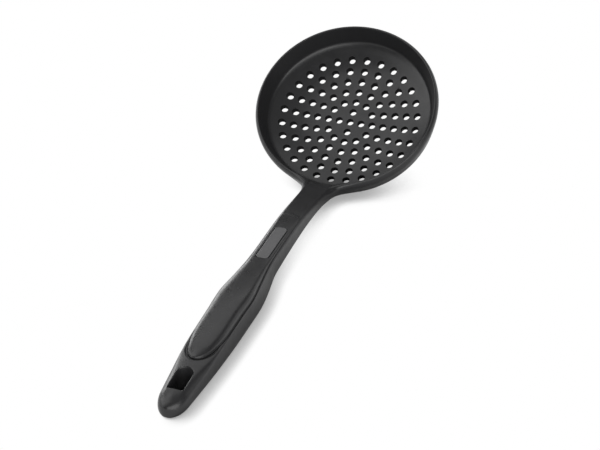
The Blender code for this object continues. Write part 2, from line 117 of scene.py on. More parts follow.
# Handle, by distance from the bowl's centre along the table; pairs are (distance, size) in millimetres
NECK_START = 65.0 * MM
HANDLE_END = 299.0 * MM
END_ROUND = 11.8 * MM
END_ROUND_POWER = 2.2
END_NOSE_HEIGHT = 2.5 * MM
END_FLATNESS = 0.35
END_TIP_SHARE = 0.05
END_STATIONS = 12
STATION_STEP = 3.0 * MM
TOP_LINES = 5
SIDE_FULLNESS = 1.9
SIDE_FULL_AT = 0.55
SIDE_LINES = 5
BOTTOM_CORNER = 3.4 * MM
BOTTOM_CORNER_TURNS = (radians(25.0), radians(50.0), radians(75.0))
TOP_EDGE_HEIGHT = ((65, 12.4), (85, 14.5), (110, 16.6), (130, 16.8), (155, 16.3), (185, 15.6),
                   (215, 14.3), (245, 12.7), (265, 11.1), (285, 9.3), (299, 7.8))
TOP_CROWN = ((65, 0.0), (90, 0.2), (115, 0.6), (150, 0.9), (200, 1.6), (245, 1.4), (265, 2.2),
             (285, 3.0), (299, 2.6))
TOP_HALF_WIDTH = ((65, 6.8), (85, 7.3), (115, 7.4), (150, 7.5), (167, 7.8), (185, 9.4), (200, 10.8),
                  (215, 10.4), (240, 10.1), (255, 9.7), (270, 9.2), (290, 7.8), (299, 7.3))
SIDE_HALF_WIDTH = ((65, 9.6), (75, 8.2), (90, 7.6), (120, 7.2), (150, 6.9), (157, 7.1), (165, 8.1),
                   (175, 9.4), (185, 10.35), (195, 10.65), (206, 10.7), (216, 10.75), (226, 10.75),
                   (236, 10.6), (246, 10.3), (255, 10.0), (270, 9.2), (290, 8.0), (299, 7.6))
EDGE_ROUND = ((65, 1.0), (80, 1.8), (95, 1.9), (150, 1.8), (172, 1.0), (245, 0.6), (258, 1.5),
              (270, 2.9), (299, 3.1))
NECK_CLEARANCE = ((65, 4.4), (90, 5.7), (115, 5.8))
CLEARANCE_FROM = 100.0 * MM
CLEARANCE_TO = 195.0 * MM

# Hang hole
HANG_HALF_WIDTH = 4.4 * MM
HANG_HEAD = 269.0 * MM
HANG_FOOT = 287.5 * MM
HANG_CORNER = 1.3 * MM
HANG_DRAFT = 3.0 * MM
HANG_CORNER_STEPS = 8
HANG_HEAD_STEPS = 28

# Grip: the pad's outline, its seat in the handle and the ledge round its tip
PAD_START = 108.0 * MM
PAD_END = 261.0 * MM
PAD_START_ROUND = 5.0 * MM
PAD_TIP_ROUND = 30.0 * MM
PAD_TIP_POWER = 2.2
PAD_END_FLAT = 0.25 * MM
PAD_RIM = ((108, 1.3), (150, 1.3), (185, 0.8), (261, 0.8))
PAD_CROWN = ((108, 0.05), (120, 0.5), (135, 0.9), (160, 1.2), (180, 2.8), (205, 4.6), (235, 4.8),
             (252, 3.5), (261, 1.3))
PAD_CROWN_POWER = 2.8
PAD_TIP_SPINE = 10.0 * MM
PAD_ARC = 11
# Steps (outwards, downwards) over the edge of the pad's foot, in millimetres
PAD_EDGE_STEPS = ((0.0, 0.6), (0.0, 0.2), (-0.06, 0.05), (-0.2, 0.0))
PAD_FOOT_ROUND = 0.1 * MM
PAD_FOOT_START = -0.25 * MM
PAD_CROWN_START = -0.3 * MM
GROOVE_START = 0.02 * MM
GROOVE_FROM = 135.0 * MM
GROOVE_TO = 185.0 * MM
NECK_SEAT_DEPTH = 1.8 * MM
CARRIER_START = 168.0 * MM
CARRIER_TOP_DEPTH = 2.4 * MM
CARRIER_THICKNESS = 2.0 * MM
GAP = 0.3 * MM
LEDGE_DEPTH = 0.7 * MM
LEDGE_FROM = 244.0 * MM
LEDGE_TO = 253.0 * MM
# Steps (outwards, upwards) over the ledge's edge, in millimetres
LEDGE_STEPS = ((0.9, 0.0), (1.1, 0.06), (1.3, 0.24), (1.5, 0.46), (1.7, 0.6), (2.0, 0.68), (2.3, 0.76))
LEDGE_OUTSIDE = 2.4 * MM

# Inlaid plate on the neck
PLATE_START = 126.5 * MM
PLATE_END = 161.5 * MM
PLATE_HALF_WIDTH = 3.5 * MM
PLATE_SHIFT = 0.3 * MM
PLATE_CORNER = 2.4 * MM
PLATE_DEPTH = 0.9 * MM
# Steps (outwards, downwards) over the plate's edge, in millimetres
PLATE_EDGE_STEPS = ((0.0, 0.28), (-0.05, 0.12), (-0.14, 0.03), (-0.3, 0.0))
PLATE_TOP_SHARES = (0.9, 0.7, 0.45, 0.2, 0.0)
PLATE_BASE_SHARES = (0.0, 0.5, 1.0)
RECESS_EDGE = 0.2 * MM

# Moulded plastics: clouds in the colour, flow marks in the gloss, the grain, and the painted shade that
# darkens the drawn hole walls
CLOUD_WIDTH = 18.0 * MM
CLOUD_DETAIL = 3.0
FLOW_WIDTH = 5.0 * MM
FLOW_DETAIL = 4.0
FLOW_LIMITS = (0.3, 0.7)
GLOSS_SPREAD = 0.04
GRAIN_DETAIL = 2.0
GRAIN_STRENGTH = 0.2
# Painted shade: the share of the nylon's colour kept on the hole walls, which darkens them inside the holes
HOLE_WALL_PAINTED_SHADE = 0.35

# Sockets of a Mix node: the share, two numbers, two colours, and the colour that comes out
MIX_SHARE, MIX_NUMBER_A, MIX_NUMBER_B, MIX_COLOUR_A, MIX_COLOUR_B = 0, 2, 3, 6, 7
MIX_COLOUR_OUT = 2

# Photograph's viewpoint
CAMERA_PLACE = (0.33173, -0.94214, 0.59334)
CAMERA_TURN = (radians(60.1838), radians(-0.5945), radians(19.1014))
CAMERA_LENS = 122.483
CAMERA_SENSOR = 36.0
CAMERA_CLIP = 0.01

# Studio floor, and the soft shadow that it keeps beside, under and in the gloss of the skimmer
FLOOR_SIZE = 24.0
FLOOR_ROUGHNESS = 0.4
FIBRE_WIDTH = 1.5 * MM
FIBRE_DETAIL = 2.0
FIBRE_SHADE = 0.985
SHADOW_SAMPLES = 16
SHADOW_LIFT = 0.27
SHADOW_REACH = 9.0 * MM
SHADOW_LEAN = (-3.0, 0.3, 0.0)
SHADOW_LIMITS = (0.25, 0.95)
COVER_REACH = 60.0 * MM
COVER_LEAN = (-0.6, 0.3, 0.0)
COVER_LIMITS = (0.15, 0.5)
MIRRORED_REACH = 110.0 * MM
MIRRORED_LIMITS = (0.45, 0.95)

# Lamps: name, place, size and the setting that holds the power
LAMPS = (("key_lamp", (-0.80, -0.29, 1.47), (1.2, 1.2), "key_power"),
         ("back_lamp", (-0.50, 1.02, 1.62), (2.2, 1.5), "back_power"),
         ("white_card", (-1.34, 1.30, 0.32), (1.2, 0.6), "card_power"),
         ("right_card", (0.95, 1.35, 0.45), (1.2, 0.7), "right_power"),
         ("left_lamp", (-1.42, -0.25, 0.67), (1.4, 1.0), "left_power"),
         ("fill_lamp", (1.1, -1.3, 0.62), (3.0, 1.2), "fill_power"),
         ("top_lamp", (0.25, 0.0, 1.6), (1.4, 1.4), "top_power"))
LAMP_AIM = (0.0, 0.0, 0.02)
WHITE = (1.0, 1.0, 1.0, 1.0)

BOWL_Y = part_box("skimmer_body")[0].y + HANDLE_END
BOWL_TO_TABLE = Matrix.Translation((0.0, BOWL_Y, BOWL_CENTRE_HEIGHT)) @ Matrix.Rotation(BOWL_TILT, 4, "X")


def linear_colour(code):
    """Linear red, green and blue of an sRGB hex value."""
    channels = [int(code[i:i + 2], 16) / 255.0 for i in (1, 3, 5)]
    return [c / 12.92 if c <= 0.04045 else ((c + 0.055) / 1.055) ** 2.4 for c in channels]


def smoothstep(low, high, value):
    """Ease from 0 at low to 1 at high."""
    t = min(max((value - low) / (high - low), 0.0), 1.0)
    return t * t * (3.0 - 2.0 * t)


def profile(keys):
    """Smooth curve through given (distance, size) points in millimetres."""
    xs = [x * MM for x, _ in keys]
    ys = [y * MM for _, y in keys]
    last = len(keys) - 1
    slopes = []
    for i in range(len(keys)):
        before, after = max(i - 1, 0), min(i + 1, last)
        slopes.append((ys[after] - ys[before]) / (xs[after] - xs[before]))

    def value(x):
        x = min(max(x, xs[0]), xs[-1])
        i = max(k for k in range(last) if x >= xs[k])
        span = xs[i + 1] - xs[i]
        t = (x - xs[i]) / span
        return ((1 + 2 * t) * (1 - t) ** 2 * ys[i] + t * (1 - t) ** 2 * span * slopes[i]
                + t * t * (3 - 2 * t) * ys[i + 1] - t * t * (1 - t) * span * slopes[i + 1])

    return value


top_edge_height = profile(TOP_EDGE_HEIGHT)
top_crown = profile(TOP_CROWN)
top_half_width = profile(TOP_HALF_WIDTH)
side_half_width = profile(SIDE_HALF_WIDTH)
edge_round = profile(EDGE_ROUND)
neck_clearance = profile(NECK_CLEARANCE)
pad_rim = profile(PAD_RIM)
pad_crown = profile(PAD_CROWN)


def hermite(start, start_pull, end, end_pull, t):
    """Point at t on a curve with a given start, end and pull at each."""
    return (start * (1 + 2 * t) * (1 - t) ** 2 + start_pull * t * (1 - t) ** 2
            + end * t * t * (3 - 2 * t) - end_pull * t * t * (1 - t))


def place(x, distance, height):
    """Point at a distance from the bowl's centre towards the handle's end."""
    return Vector((x, BOWL_Y - distance, height))


def dish(radius):
    """Rise of the floor's middle above the centre hole."""
    return DISH_RISE * (radius / DISH_RADIUS) ** DISH_POWER


def bowl_point(radius, angle, height, shift):
    """Point of the bowl; the angle is counted from the handle's side."""
    return BOWL_TO_TABLE @ Vector((radius * sin(angle), shift - radius * cos(angle), height))


def bowl_edge(angle):
    """Points from the rim's crest over the outside to the edge of the base."""
    return [bowl_point(radius * MM, angle, height * MM, RIM_SHIFT) for radius, height, _ in BOWL_EDGE]


def end_taper(distance):
    """Rounds the handle's end in plan: 1 along the handle, 0 at its end."""
    t = max((distance - (HANDLE_END - END_ROUND)) / END_ROUND, 0.0)
    return max(1.0 - t ** END_ROUND_POWER, 0.0) ** (1.0 / END_ROUND_POWER)


def handle_bottom(distance):
    """Height of the underside: the neck stands clear, the grip lies on the table."""
    return neck_clearance(distance) * (1.0 - smoothstep(CLEARANCE_FROM, CLEARANCE_TO, distance))


def handle_top(distance, x):
    """Height of the moulded handle's top at x from its centre line."""
    across = min(abs(x) / top_half_width(distance), 1.0)
    return top_edge_height(distance) + top_crown(distance) * (1.0 - across * across)


def handle_section(distance):
    """Ring of the handle: top from left to right, right side, underside, left side."""
    taper = max(end_taper(distance), END_TIP_SHARE)
    squeeze = END_FLATNESS + (1.0 - END_FLATNESS) * taper
    edge = top_edge_height(distance)
    bottom = handle_bottom(distance)
    width = top_half_width(distance)
    side_width = side_half_width(distance)
    ease = edge_round(distance)

    def flank(depth):
        share = min(depth / (SIDE_FULL_AT * (edge - bottom)), 1.0)
        return width + (side_width - width) * (1.0 - (1.0 - share) ** SIDE_FULLNESS), edge - depth

    inner = (width - ease, handle_top(distance, width - ease))
    outer = flank(ease)

    def corner(t):
        return tuple((1 - t) ** 2 * a + 2 * t * (1 - t) * b + t * t * c
                     for a, b, c in zip(inner, (width, edge), outer))

    steps = [inner[0] * k / TOP_LINES for k in range(1, TOP_LINES + 1)]
    half_top = [(x, handle_top(distance, x)) for x in steps] + [corner(0.25), corner(0.5)]
    reach = edge - bottom - BOTTOM_CORNER - ease
    side = [corner(0.75), outer] + [flank(ease + reach * k / SIDE_LINES) for k in range(1, SIDE_LINES + 1)]
    for turn in BOTTOM_CORNER_TURNS:
        side.append((side_width - BOTTOM_CORNER * (1.0 - cos(turn)),
                     bottom + BOTTOM_CORNER * (1.0 - sin(turn))))
    count = len(half_top)
    base = [((side_width - BOTTOM_CORNER) * k / count, bottom) for k in range(count, -count - 1, -1)]
    top = [(-x, z) for x, z in reversed(half_top)] + [(0.0, handle_top(distance, 0.0))] + half_top
    ring = top + side + base + [(-x, z) for x, z in reversed(side)]
    nose = END_NOSE_HEIGHT if distance > HANDLE_END - END_ROUND else 0.0
    return [place(x * taper, distance, nose + (z - nose) * squeeze) for x, z in ring]


def stations(start, end, step):
    """Evenly spaced distances from start to end."""
    count = max(round((end - start) / step), 1)
    return [start + (end - start) * i / count for i in range(count + 1)]


def rounded_stations(start, end, start_round, end_round):
    """Stations that crowd towards rounded ends."""
    head = [start + start_round * (1.0 - cos(0.5 * pi * i / END_STATIONS)) for i in range(END_STATIONS)]
    tail = [end - end_round * (1.0 - cos(0.5 * pi * i / END_STATIONS)) for i in range(END_STATIONS)]
    return head + stations(start + start_round, end - end_round, STATION_STEP) + tail[::-1]


def body_sheets():
    """Rows of points for the handle, the bowl's inside, its outer wall and its underside."""
    straight = stations(NECK_START, HANDLE_END - END_ROUND, STATION_STEP)
    turns = [0.5 * pi * i / END_STATIONS for i in range(1, END_STATIONS + 1)]
    nose = [HANDLE_END - END_ROUND * (1.0 - sin(turn)) for turn in turns]
    sections = [handle_section(d) for d in straight + nose]
    first, second = sections[0], sections[1]
    lines = TOP_LINES + 2
    across = 2 * lines + 1
    levels = len(BOWL_EDGE)
    right_edge = first[across - 1:across - 1 + levels]
    left_edge = [first[0]] + first[:-levels:-1]
    neck_top = first[:across]
    neck_base = left_edge[-1:] + [first[across + levels - 2 + i] for i in range(across - 2, -1, -1)]
    neck_way = [(p - q).normalized() for p, q in zip(first, second)]
    right_way = neck_way[across - 1:across - 1 + levels]
    left_way = [neck_way[0]] + neck_way[:-levels:-1]

    def fillet(side, t):
        """Edge points between the bowl's circles (t = 0) and the neck (t = 1)."""
        points = []
        for level, (_, _, order) in enumerate(BOWL_EDGE):
            end = right_edge[level] if side > 0 else left_edge[level]
            way = right_way[level] if side > 0 else left_way[level]
            share = (order / BOWL_EDGE[-1][2]) ** LEAVING_POWER
            leaves_at = RIM_LEAVES_AT + (WALL_LEAVES_AT - RIM_LEAVES_AT) * share
            on_circle = WALL_LEAVES_AT - leaves_at
            split = on_circle / (on_circle + FILLET_TURN)
            if t < split:
                points.append(bowl_edge(side * (WALL_LEAVES_AT - on_circle * t / split))[level])
                continue
            start = bowl_edge(side * leaves_at)[level]
            heading = (start - bowl_edge(side * (leaves_at + HEADING_STEP))[level]).normalized()
            pull = FILLET_PULL * (end - start).length
            points.append(hermite(start, heading * pull, end, -way * pull, (t - split) / (1.0 - split)))
        return points

    def column(angle, blend, rim, base_edge, way):
        """Inside and underside of the bowl from its middle to the edge at one angle."""
        half = 0.5 * FLOOR_THICKNESS
        rings = [FLOOR_INNER_RING + (FLOOR_OUTER_RING - FLOOR_INNER_RING) * i / FLOOR_RINGS
                 for i in range(FLOOR_RINGS + 1)]
        inside = [bowl_point(r, angle, half + dish(r), 0.0) for r in rings]
        under = [bowl_point(r, angle, dish(r) - half, 0.0) for r in rings[:-1]]
        crease = bowl_point(CREASE_RADIUS, angle, CREASE_HEIGHT, RIM_SHIFT)
        wall_top = bowl_point(WALL_TOP[0], angle, WALL_TOP[1], RIM_SHIFT)
        rise = (wall_top - crease).normalized()
        roll = (bowl_point(2.0 * WALL_TOP[0], angle, WALL_TOP[1], RIM_SHIFT) - wall_top).normalized()
        reach = (rim - crease).length
        leave = roll * RIM_ROLL * (1.0 - blend) - way * blend
        for i in range(WALL_STEPS):
            t = 1.0 - (1.0 - i / WALL_STEPS) ** WALL_CROWDING
            inside.append(hermite(crease, rise * reach, rim, leave * reach, t))
        foot_way = (under[-1] - under[-2]).normalized()
        base_reach = (base_edge - under[-1]).length
        base_leave = (foot_way * (1.0 - blend) + way * -blend).normalized()
        start, end = foot_way * base_reach, base_leave * base_reach
        foot = under[-1]
        for i in range(1, UNDER_STEPS):
            under.append(hermite(foot, start, base_edge, end, i / UNDER_STEPS))
        for point in under:
            point.z = max(point.z, CAD_LOW.z)
        return inside + [rim], under + [base_edge]

    columns = []
    for line in range(across):
        angle = MOUTH_HALF_ANGLE * (neck_top[line].x / neck_top[-1].x)
        columns.append(column(angle, 1.0, neck_top[line], neck_base[line], neck_way[line]))
    walls = [right_edge]
    turn = 2.0 * (pi - WALL_LEAVES_AT) / BOWL_COLUMNS
    steps = [(1, i / FILLET_COLUMNS) for i in range(FILLET_COLUMNS - 1, 0, -1)]
    steps += [(0, WALL_LEAVES_AT + turn * i) for i in range(BOWL_COLUMNS + 1)]
    steps += [(-1, i / FILLET_COLUMNS) for i in range(1, FILLET_COLUMNS)]
    for side, value in steps:
        if side:
            edge = fillet(side, value)
            angle = side * (WALL_LEAVES_AT + (MOUTH_HALF_ANGLE - WALL_LEAVES_AT) * value)
            columns.append(column(angle, value, edge[0], edge[-1], neck_way[0]))
        else:
            edge = bowl_edge(value)
            columns.append(column(value, 0.0, edge[0], edge[-1], neck_way[0]))
        walls.append(edge)
    walls.append(left_edge)
    columns.append(columns[0])
    handle = [ring + ring[:1] for ring in sections]
    return handle, [c[0] for c in columns], walls, [c[1] for c in columns]


def arc(centre_x, centre_d, radius, start, end, steps):
    """Plan points round a corner."""
    return [(centre_x + radius * cos(start + (end - start) * i / steps),
             centre_d + radius * sin(start + (end - start) * i / steps)) for i in range(steps + 1)]


def hang_outline(grow, draft=0.0):
    """Hang hole: a round head towards the bowl, drawn in by the draft, and a flat foot."""
    side = HANG_HALF_WIDTH - HANG_CORNER
    foot = HANG_FOOT - HANG_CORNER
    corner = HANG_CORNER + grow
    right = arc(side, foot, corner, 0.0, 0.5 * pi, HANG_CORNER_STEPS)
    left = arc(-side, foot, corner, 0.5 * pi, pi, HANG_CORNER_STEPS)
    head = HANG_HEAD + HANG_HALF_WIDTH + draft
    return right + left + arc(0.0, head, HANG_HALF_WIDTH + grow, pi, 2.0 * pi, HANG_HEAD_STEPS)


def pad_half_width(distance, grow=0.0, start_grow=0.0):
    """Half width of the pad's outline, with a rounded start and a long rounded tip."""
    start = (PAD_START + PAD_START_ROUND - distance) / (PAD_START_ROUND + start_grow)
    tip = (distance - (PAD_END - PAD_TIP_ROUND)) / (PAD_TIP_ROUND + grow)
    start = min(max(start, 0.0), 1.0)
    tip = min(max(tip, 0.0), 1.0)
    rounding = sqrt(1.0 - start ** 2) * (1.0 - tip ** PAD_TIP_POWER) ** (1.0 / PAD_TIP_POWER)
    room = start_grow + (grow - start_grow) * smoothstep(GROOVE_FROM, GROOVE_TO, distance)
    return max((top_half_width(distance) - pad_rim(distance) + room) * rounding, PAD_END_FLAT)


def both_sides(distances, half_width):
    """Closed plan outline: out along the right side and back along the left."""
    return ([(half_width(d), d) for d in distances]
            + [(-half_width(d), d) for d in reversed(distances)])


def pad_outline(grow, start_grow=0.0):
    """Plan outline of the pad or, with room round it, of its seat."""
    plain = rounded_stations(PAD_START - start_grow, PAD_END + grow, PAD_START_ROUND + start_grow,
                             PAD_TIP_ROUND + grow)
    distances = sorted(plain + [CARRIER_START - GAP, CARRIER_START])
    return both_sides(distances, lambda d: pad_half_width(d, grow, start_grow))


def towards_spine(outline, share, start, end):
    """The same outline drawn in towards the middle line between start and end."""
    points = []
    for x, d in outline:
        middle = min(max(d, start), end)
        points.append((x * share, middle + (d - middle) * share))
    return points


def pad_edge(distance):
    """Height of the pad's upper edge, level with the handle beside it."""
    return handle_top(distance, pad_half_width(distance))


def pad_top(distance, x, foot):
    """Height of the pad's crowned top at x from its centre line."""
    across = min(abs(x) / (pad_half_width(distance) - foot), 1.0)
    crown = (1.0 - across ** PAD_CROWN_POWER) ** (1.0 / PAD_CROWN_POWER)
    return pad_edge(distance) + pad_crown(distance) * crown


def pad_seat(distance):
    """Height of the floor that the pad sits on: the neck's seat, then the carrier."""
    depth = NECK_SEAT_DEPTH if distance < CARRIER_START else CARRIER_TOP_DEPTH
    return top_edge_height(distance) - depth


def seat_floor(distance):
    """Height of the seat's floor, with room for the carrier along the grip."""
    room = 0.0 if distance < CARRIER_START else CARRIER_THICKNESS + GAP
    return pad_seat(distance) - room


def ledge(distance):
    """How far the ledge round the pad's tip lies under the handle's top; it runs out along the sides."""
    return LEDGE_DEPTH * (2.0 * smoothstep(LEDGE_FROM, LEDGE_TO, distance) - 1.0)


def plate_outline(grow):
    """Plan outline of the plate, with round corners at both ends."""
    corner = PLATE_CORNER + grow

    def half_width(d):
        inset = max(PLATE_START + PLATE_CORNER - d, d - (PLATE_END - PLATE_CORNER), 0.0)
        return PLATE_HALF_WIDTH - PLATE_CORNER + sqrt(max(corner ** 2 - inset ** 2, 0.0))

    outline = both_sides(rounded_stations(PLATE_START - grow, PLATE_END + grow, corner, corner), half_width)
    return [(x + PLATE_SHIFT, d) for x, d in outline]


def rounded_edge(radius):
    """Steps (outwards, downwards) over a rounded edge, from the wall up to past the surface."""
    steps = [(radius * (1.0 - cos(turn)), radius * (1.0 - sin(turn))) for turn in EDGE_TURNS]
    last_out, last_down = steps[-1]
    rise = last_down + EDGE_OVERSHOOT * radius
    steps.append((last_out + rise * sin(EDGE_TURNS[-1]) / cos(EDGE_TURNS[-1]), last_down - rise))
    return steps


def activate(piece):
    """Make a piece the only one selected, and the active one."""
    bpy.ops.object.select_all(action="DESELECT")
    piece.select_set(True)
    bpy.context.view_layer.objects.active = piece


def lay_grid(name, rows):
    """Add a grid and lay its vertices on rows of points."""
    bpy.ops.object.select_all(action="DESELECT")
    bpy.ops.mesh.primitive_grid_add(x_subdivisions=len(rows[0]) - 1, y_subdivisions=len(rows) - 1,
                                    size=1.0)
    piece = bpy.context.object
    piece.name = name
    piece.data.name = name
    piece.data.vertices.foreach_set("co", [c for row in rows for point in row for c in point])
    piece.data.update()
    return piece


def close_up(piece):
    """Merge points that meet, close what is open and point the faces outwards."""
    activate(piece)
    bpy.ops.object.mode_set(mode="EDIT")
    bpy.ops.mesh.select_all(action="SELECT")
    bpy.ops.mesh.remove_doubles(threshold=MERGE_DISTANCE)
    bpy.ops.mesh.fill_holes(sides=0)
    bpy.ops.mesh.select_all(action="SELECT")
    bpy.ops.mesh.normals_make_consistent(inside=False)
    bpy.ops.object.mode_set(mode="OBJECT")
    return piece


def lay_shell(name, loops):
    """Closed solid through closed loops of points, one above the other."""
    return close_up(lay_grid(name, [loop + loop[:1] for loop in loops]))


def join_pieces(pieces):
    """Join pieces into the first one."""
    bpy.ops.object.select_all(action="DESELECT")
    for piece in pieces:
        piece.select_set(True)
    bpy.context.view_layer.objects.active = pieces[0]
    bpy.ops.object.join()
    return pieces[0]


def subdivide(piece, levels):
    """Round a cage with an applied subdivision surface."""
    activate(piece)
    bpy.ops.object.modifier_add(type="SUBSURF")
    modifier = piece.modifiers[-1]
    modifier.levels = levels
    modifier.render_levels = levels
    bpy.ops.object.modifier_apply(modifier=modifier.name)


def cut(piece, cutter):
    """Cut one solid out of another and throw the cutter away; cut faces keep the cutter's finish."""
    activate(piece)
    bpy.ops.object.modifier_add(type="BOOLEAN")
    modifier = piece.modifiers[-1]
    modifier.material_mode = "TRANSFER"
    modifier.operation = "DIFFERENCE"
    modifier.solver = "EXACT"
    modifier.object = cutter
    bpy.ops.object.modifier_apply(modifier=modifier.name)
    used = cutter.data
    bpy.data.objects.remove(cutter)
    bpy.data.meshes.remove(used)


def finish_piece(piece, node):
    """Shade a piece and put it in the place of its solid."""
    activate(piece)
    bpy.ops.object.shade_smooth_by_angle(angle=SMOOTH_ANGLE)
    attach(piece, "root")
    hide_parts(node)


def hole_cutter(diameter, edge):
    """All drain holes, ring after ring: one hole per ring is shaped and then copied round."""
    half = 0.5 * FLOOR_THICKNESS
    steps = rounded_edge(edge)
    made = []
    for ring, holes in enumerate(HOLES_PER_RING):
        radius = ring * HOLE_PITCH
        slope = DISH_POWER * dish(radius) / radius if radius else 0.0
        bpy.ops.object.select_all(action="DESELECT")
        bpy.ops.mesh.primitive_cylinder_add(vertices=HOLE_SIDES, radius=0.5 * diameter,
                                            depth=2.0 * (half - edge), end_fill_type="NGON",
                                            location=(0.0, 0.0, 0.0))
        hole = bpy.context.object
        bpy.ops.object.mode_set(mode="EDIT")
        bpy.ops.mesh.select_mode(type="FACE")
        for way in (1.0, -1.0):
            bpy.ops.mesh.select_all(action="DESELECT")
            bpy.ops.object.mode_set(mode="OBJECT")
            for face in hole.data.polygons:
                face.select = face.normal.z * way > HOLE_END_NORMAL
            bpy.ops.object.mode_set(mode="EDIT")
            out, down = steps[0]
            for next_out, next_down in steps[1:] + [(steps[-1][0], -HOLE_CUTTER_REACH)]:
                bpy.ops.mesh.extrude_region_move(
                    TRANSFORM_OT_translate={"value": (0.0, 0.0, way * (down - next_down))})
                grow = (0.5 * diameter + next_out) / (0.5 * diameter + out)
                bpy.ops.transform.resize(value=(grow, grow, 1.0), center_override=(0.0, 0.0, 0.0))
                out, down = next_out, next_down
        bpy.ops.object.mode_set(mode="OBJECT")
        lean = Matrix.Identity(4)
        lean[2][0] = slope
        hole.data.transform(Matrix.Translation((radius, 0.0, dish(radius))) @ lean)
        made.append(hole)
        for copy in range(1, holes):
            again = hole.copy()
            again.data = hole.data.copy()
            bpy.context.collection.objects.link(again)
            again.data.transform(Matrix.Rotation(2.0 * pi * copy / holes, 4, "Z"))
            made.append(again)
    cutter = join_pieces(made)
    cutter.data.transform(BOWL_TO_TABLE)
    return cutter


def seat_cutter(groove, edge):
    """Room for the pad and its carrier, with a rounded edge and the ledge round the pad's tip."""
    wall = pad_outline(groove, GROOVE_START)
    rounded = rounded_edge(edge)
    loops = [[place(x, d, seat_floor(d)) for x, d in towards_spine(wall, 0.0, PAD_START, PAD_END)],
             [place(x, d, seat_floor(d)) for x, d in wall]]
    for out, down in rounded[:-1]:
        outline = pad_outline(groove + out, GROOVE_START + out)
        loops.append([place(x, d, handle_top(d, x) - max(ledge(d), 0.0) - down) for x, d in outline])
    start_out = GROOVE_START + rounded[-1][0]
    for out, rise in LEDGE_STEPS:
        outline = pad_outline(out * MM, start_out)
        loops.append([place(x, d, handle_top(d, x) - ledge(d) + rise * MM) for x, d in outline])
    outline = pad_outline(LEDGE_OUTSIDE, start_out)
    loops.append([place(x, d, handle_top(d, x) + CUTTER_REACH) for x, d in outline])
    loops.append([place(x, d, handle_top(d, 0.0) + CUTTER_REACH)
                  for x, d in towards_spine(outline, 0.0, PAD_START, PAD_END)])
    return lay_shell("seat_cutter", loops)


def hang_cutter(edge):
    """Hang hole with a rounded edge above and below."""
    steps = rounded_edge(edge)
    loops = [[place(x, d, -CUTTER_REACH) for x, d in hang_outline(steps[-1][0], HANG_DRAFT)]]
    for out, down in reversed(steps):
        loops.append([place(x, d, down) for x, d in hang_outline(out, HANG_DRAFT)])
    for out, down in steps:
        loops.append([place(x, d, handle_top(d, x) - down) for x, d in hang_outline(out)])
    loops.append([place(x, d, handle_top(d, x) + CUTTER_REACH) for x, d in hang_outline(steps[-1][0])])
    return lay_shell("hang_cutter", loops)


def node(tree, kind, settings=(), links=()):
    """Add a node, set its properties and inputs, and link inputs to other nodes' outputs."""
    made = tree.nodes.new(kind)
    for key, value in settings:
        if isinstance(key, str) and hasattr(made, key):
            setattr(made, key, value)
        else:
            made.inputs[key].default_value = value
    for key, source in links:
        tree.links.new(source, made.inputs[key])
    return made


def plastic(name, colour, cloud, roughness, grain_width, grain_depth, ior, gloss):
    """Moulded plastic: a fine grain, slow flow marks in the gloss and a faint cloud in the colour."""
    made = bpy.data.materials.new(name)
    made.use_nodes = True
    tree = made.node_tree
    tree.nodes.clear()
    where = node(tree, "ShaderNodeTexCoord").outputs["Object"]
    clouds = node(tree, "ShaderNodeTexNoise", (("Scale", 1.0 / CLOUD_WIDTH), ("Detail", CLOUD_DETAIL)),
                  (("Vector", where),))
    pale = [c * (1.0 + cloud) for c in colour] + [1.0]
    deep = [c * (1.0 - cloud) for c in colour] + [1.0]
    tint = node(tree, "ShaderNodeMix",
                (("data_type", "RGBA"), (MIX_COLOUR_A, deep), (MIX_COLOUR_B, pale)),
                ((MIX_SHARE, clouds.outputs["Fac"]),))
    flow = node(tree, "ShaderNodeTexNoise", (("Scale", 1.0 / FLOW_WIDTH), ("Detail", FLOW_DETAIL)),
                (("Vector", where),))
    gloss_range = node(tree, "ShaderNodeMapRange",
                       (("From Min", FLOW_LIMITS[0]), ("From Max", FLOW_LIMITS[1]),
                        ("To Min", roughness - GLOSS_SPREAD), ("To Max", roughness + GLOSS_SPREAD)),
                       (("Value", flow.outputs["Fac"]),))
    grain = node(tree, "ShaderNodeTexNoise", (("Scale", 1.0 / grain_width), ("Detail", GRAIN_DETAIL)),
                 (("Vector", where),))
    bump = node(tree, "ShaderNodeBump", (("Strength", GRAIN_STRENGTH), ("Distance", grain_depth)),
                (("Height", grain.outputs["Fac"]),))
    shader = node(tree, "ShaderNodeBsdfPrincipled", (("IOR", ior), ("Specular IOR Level", gloss)),
                  (("Base Color", tint.outputs[MIX_COLOUR_OUT]),
                   ("Roughness", gloss_range.outputs["Result"]), ("Normal", bump.outputs["Normal"])))
    node(tree, "ShaderNodeOutputMaterial", (), (("Surface", shader.outputs["BSDF"]),))
    return made


